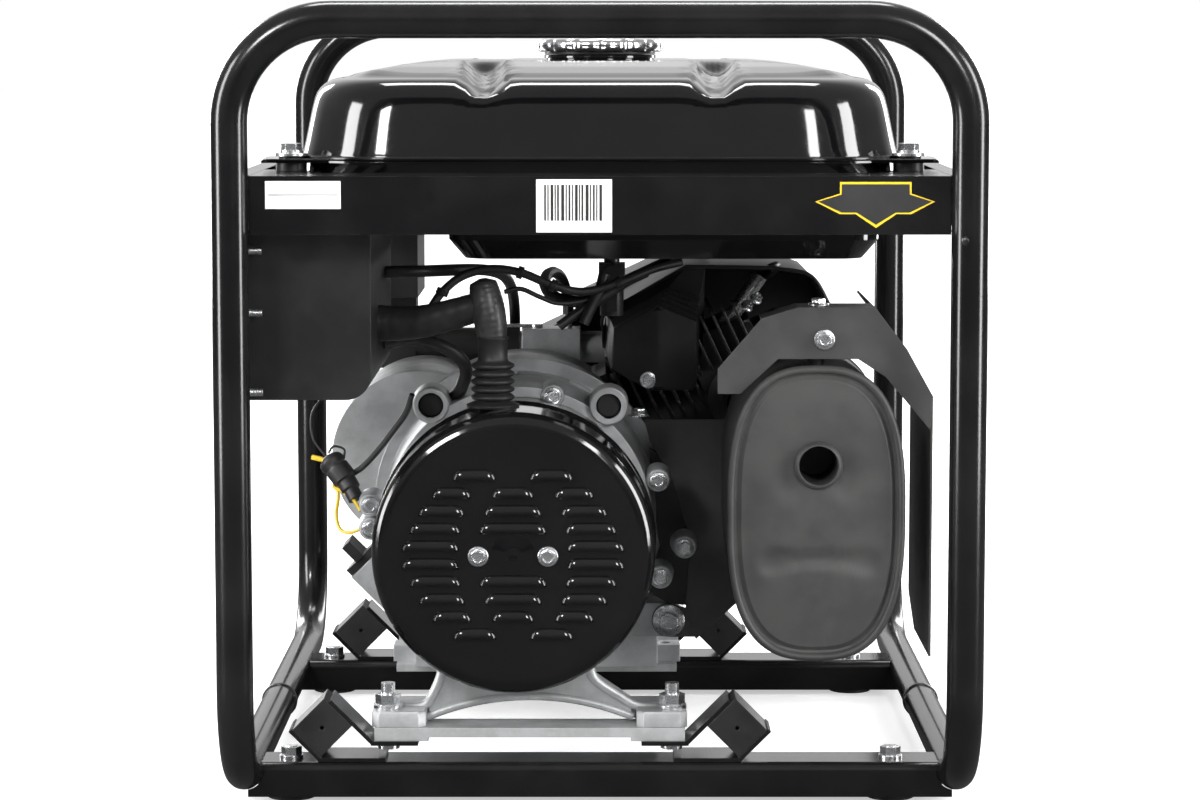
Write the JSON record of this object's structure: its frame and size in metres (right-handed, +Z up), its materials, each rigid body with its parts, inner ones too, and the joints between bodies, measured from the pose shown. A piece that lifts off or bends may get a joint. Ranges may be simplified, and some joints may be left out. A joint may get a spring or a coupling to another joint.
{
  "type": "portable generator",
  "caption": "Open-frame portable petrol generator: tube hoops, fuel tank, single-cylinder engine, alternator, silencer and side control panel.",
  "frame": {"origin": "centre of the assembly's outline at floor level, under the feet", "axes": "+Z up, +Y from the alternator end to the recoil starter end, +X towards the silencer side"},
  "size_m": [0.53, 0.68, 0.566],
  "materials": {
    "frame_paint": "semi-gloss powder coat",
    "black_rubber": "matt moulded rubber",
    "zinc_hardware": "bright zinc plate",
    "zinc_plate": "dull zinc plate",
    "tank_paint": "high gloss black enamel",
    "cap_chrome": "polished chrome",
    "cast_alloy": "rough cast aluminium",
    "machined_steel": "machined steel",
    "flywheel_iron": "cast iron",
    "black_casting": "black painted casting",
    "black_sheet": "satin black enamel",
    "black_plastic": "fine grained black plastic",
    "rope": "braided cord",
    "red_plastic": "red plastic",
    "plug_steel": "plated steel and white ceramic",
    "copper_wire": "varnished copper wire",
    "bearing_steel": "ground bearing steel",
    "exhaust_steel": "heat-dulled dark coating",
    "blue_plastic": "blue plastic",
    "cable_sleeve": "black sleeve"
  },
  "bodies": {
    "frame_body": {"alternator_end_hoop": "frame_paint", "recoil_end_hoop": "frame_paint", "crossbars": "frame_paint", "tank_rails": "frame_paint", "side_rails": "frame_paint", "rubber_feet": "black_rubber", "bed_bolts": "zinc_hardware", "isolator_plates": "frame_paint", "isolator_rubbers": "black_rubber", "bed_plates": "zinc_plate", "tank_lower_shell": "tank_paint", "tank_upper_shell": "tank_paint", "tank_bushes": "black_rubber", "tank_bolts": "zinc_hardware", "fuel_tap": "black_casting", "fuel_hose": "black_rubber", "crankcase": "cast_alloy", "crankcase_cover": "cast_alloy", "cylinder_barrel": "black_casting", "cylinder_head": "black_casting", "rocker_cover": "black_casting", "piston": "cast_alloy", "connecting_rod": "cast_alloy", "fan_housing": "black_sheet", "recoil_housing": "black_sheet", "carburettor": "cast_alloy", "air_cleaner": "black_plastic", "cylinder_hood": "black_sheet", "spark_plug": "plug_steel", "front_bracket": "cast_alloy", "rear_bracket": "cast_alloy", "stator_core": "machined_steel", "stator_windings": "copper_wire", "bearings": "bearing_steel", "brush_holder": "black_plastic", "end_cover": "tank_paint", "cable_boot": "black_rubber", "silencer": "exhaust_steel", "silencer_shield": "exhaust_steel", "silencer_bracket": "exhaust_steel", "control_box": "black_sheet", "control_panel": "black_sheet", "sockets": "blue_plastic", "wiring": "cable_sleeve"},
    "crank": {"crankshaft": "machined_steel", "rotor": "machined_steel", "flywheel": "flywheel_iron"},
    "cam": {"camshaft": "machined_steel"},
    "grip": {"starter_grip": "black_plastic", "starter_rope": "rope"},
    "pulley": {"recoil_pulley": "black_plastic"},
    "cap_seal": {"cap_gasket": "black_rubber"},
    "cap": {"fuel_cap": "cap_chrome"},
    "tap_lever": {"fuel_tap_lever": "black_plastic"},
    "choke": {"choke_lever": "zinc_hardware"},
    "dipstick": {"dipstick": "black_plastic"},
    "run_switch": {"engine_switch": "red_plastic"},
    "breaker_toggle": {"breaker": "black_plastic"},
    "lid_near": {"socket_lid_near": "blue_plastic"},
    "lid_far": {"socket_lid_far": "blue_plastic"}
  },
  "joints": [
    {"name": "crank_spin", "type": "hinge", "parent": "frame_body", "child": "crank", "pos_m": [-0.061, 0, 0.1805], "axis": [0, 1, 0], "continuous": true},
    {"name": "cam_spin", "type": "hinge", "parent": "frame_body", "child": "cam", "pos_m": [-0.141, 0, 0.215], "axis": [0, 1, 0], "continuous": true},
    {"name": "grip_pull", "type": "slide", "parent": "frame_body", "child": "grip", "axis": [-1, 0, 0], "range_m": [0, 0.6], "stiffness_N_per_m": 20, "springref_m": -0.6},
    {"name": "pulley_turn", "type": "hinge", "parent": "frame_body", "child": "pulley", "pos_m": [-0.061, 0.2742, 0.1805], "axis": [0, -1, 0], "range_deg": [0, 580]},
    {"name": "cap_lift", "type": "slide", "parent": "frame_body", "child": "cap_seal", "axis": [0, 0, 1], "range_m": [0, 0.06]},
    {"name": "cap_turn", "type": "hinge", "parent": "cap_seal", "child": "cap", "pos_m": [0, 0, 0.53], "axis": [0, 0, 1], "range_deg": [0, 90]},
    {"name": "tap_lever_turn", "type": "hinge", "parent": "frame_body", "child": "tap_lever", "pos_m": [0.009, -0.071, 0.363], "axis": [0, 1, 0], "range_deg": [0, 90]},
    {"name": "choke_turn", "type": "hinge", "parent": "frame_body", "child": "choke", "pos_m": [-0.052, 0.148, 0.304], "axis": [0, 0, 1], "range_deg": [0, 70]},
    {"name": "dipstick_draw", "type": "slide", "parent": "frame_body", "child": "dipstick", "axis": [-0.7071, 0, 0.7071], "range_m": [0, 0.06]},
    {"name": "run_switch_rock", "type": "hinge", "parent": "frame_body", "child": "run_switch", "pos_m": [-0.2496, -0.0923, 0.3741], "axis": [0, 1, 0], "range_deg": [0, 18]},
    {"name": "breaker_rock", "type": "hinge", "parent": "frame_body", "child": "breaker_toggle", "pos_m": [-0.2496, -0.0923, 0.3301], "axis": [0, 1, 0], "range_deg": [0, 44]},
    {"name": "lid_near_open", "type": "hinge", "parent": "frame_body", "child": "lid_near", "pos_m": [-0.2595, -0.2503, 0.3591], "axis": [0, 1, 0], "range_deg": [0, 110], "stiffness_Nm_per_rad": 0.01, "springref_deg": -34.38},
    {"name": "lid_far_open", "type": "hinge", "parent": "frame_body", "child": "lid_far", "pos_m": [-0.2595, -0.1843, 0.3591], "axis": [0, 1, 0], "range_deg": [0, 110], "stiffness_Nm_per_rad": 0.01, "springref_deg": -34.38}
  ],
  "couplings": [
    {"joint": "cam_spin", "follows": "crank_spin", "ratio": -0.5},
    {"joint": "pulley_turn", "follows": "grip_pull", "rad_per_m": 16.667}
  ]
}
